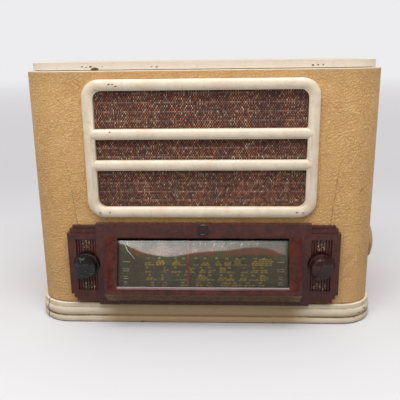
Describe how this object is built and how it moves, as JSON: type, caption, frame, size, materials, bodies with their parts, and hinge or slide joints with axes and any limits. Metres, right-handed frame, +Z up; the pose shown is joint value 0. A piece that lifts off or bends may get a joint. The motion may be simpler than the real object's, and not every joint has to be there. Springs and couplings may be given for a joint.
{
  "type": "table radio",
  "caption": "Wooden table radio in tan leatherette with a cream three-window grille, a bakelite panel with a slanted slide-rule dial, two front knobs and a side knob.",
  "frame": {"origin": "centre of the cabinet's underside, on the surface it stands on", "axes": "+X to the right seen from the front, -Y out of the front, +Z up"},
  "size_m": [0.4525, 0.2603, 0.3295],
  "materials": {
    "plywood": "plain",
    "softwood": "plain",
    "cream_paint": "aged gloss paint on wood",
    "leatherette": "fine-grained satin",
    "grille_cloth": "woven",
    "maroon_bakelite": "aged gloss",
    "black_bakelite": "gloss",
    "celluloid": "clear, slightly warped",
    "dial_print": "printed satin",
    "red_enamel": "satin",
    "plated_steel": "dull plated",
    "chassis_steel": "dull plated",
    "aluminium_sheet": "satin",
    "brass": "aged",
    "lamp_glass": "frosted",
    "drive_cord": "braided",
    "tan_plastic": "aged satin",
    "paxolin": "satin",
    "black_enamel": "satin",
    "cone_paper": "matte",
    "valve_glass": "clear",
    "hardboard": "rough",
    "rubber": "matte"
  },
  "bodies": {
    "cabinet": {"bottom_board": "plywood", "front_panel": "plywood", "side_panel_left": "plywood", "side_panel_right": "plywood", "corner_block_left": "softwood", "corner_block_right": "softwood", "top_board": "plywood", "top_slab": "cream_paint", "top_trim": "cream_paint", "leatherette_cover": "leatherette", "plinth_front": "cream_paint", "plinth_side_left": "cream_paint", "plinth_side_right": "cream_paint", "grille_frame": "cream_paint", "grille_cloth": "grille_cloth", "grille_pins": "plated_steel", "escutcheon": "maroon_bakelite", "emblem_disc": "maroon_bakelite", "dial_window": "celluloid", "dial_scale": "dial_print", "dial_frame": "plated_steel", "pointer_rail": "plated_steel", "dial_lamps": "lamp_glass", "dial_pulleys": "brass", "dial_cord": "drive_cord", "volume_control": "plated_steel", "wave_switch": "paxolin", "chassis": "chassis_steel", "chassis_runners": "softwood", "chassis_bolts": "plated_steel", "gang_frame": "aluminium_sheet", "gang_stator": "aluminium_sheet", "power_transformer": "black_enamel", "output_transformer": "black_enamel", "speaker_frame": "black_enamel", "speaker_cone": "cone_paper", "speaker_magnet": "plated_steel", "speaker_bolts": "plated_steel", "valve_mixer": "valve_glass", "valve_if": "valve_glass", "valve_detector": "valve_glass", "valve_output": "valve_glass", "valve_rectifier": "valve_glass", "valve_bases": "black_bakelite", "if_can_first": "aluminium_sheet", "if_can_second": "aluminium_sheet", "back_panel": "hardboard", "back_screws": "brass", "terminal_panel": "paxolin", "mains_grommet": "rubber"},
    "tuning_control": {"tuning_knob": "maroon_bakelite", "tuning_spindle": "plated_steel"},
    "volume_knob_set": {"volume_knob": "black_bakelite", "volume_shaft": "plated_steel"},
    "wave_knob_set": {"wave_knob": "tan_plastic", "wave_shaft": "plated_steel"},
    "tuning_drum": {"dial_drum": "aluminium_sheet", "gang_rotor": "aluminium_sheet"},
    "pointer": {"dial_pointer": "red_enamel"}
  },
  "joints": [
    {"name": "tuning_turn", "type": "hinge", "parent": "cabinet", "child": "tuning_control", "pos_m": [0.147, -0.1215, 0.082], "axis": [0, 1, 0], "range_deg": [-790, 1212]},
    {"name": "drum_turn", "type": "hinge", "parent": "cabinet", "child": "tuning_drum", "pos_m": [0.1, -0.0905, 0.128], "axis": [0, 1, 0], "range_deg": [-71.5, 109.2]},
    {"name": "pointer_slide", "type": "slide", "parent": "cabinet", "child": "pointer", "axis": [1, 0, 0], "range_m": [-0.0701, 0.107]},
    {"name": "volume_turn", "type": "hinge", "parent": "cabinet", "child": "volume_knob_set", "pos_m": [-0.147, -0.1215, 0.082], "axis": [0, 1, 0], "range_deg": [-150, 150]},
    {"name": "wave_change_turn", "type": "hinge", "parent": "cabinet", "child": "wave_knob_set", "pos_m": [0.2175, -0.0205, 0.0832], "axis": [1, 0, 0], "range_deg": [-60, 30]}
  ],
  "couplings": [
    {"joint": "drum_turn", "follows": "tuning_turn", "ratio": 0.08925},
    {"joint": "pointer_slide", "follows": "tuning_turn", "m_per_rad": 0.005}
  ]
}
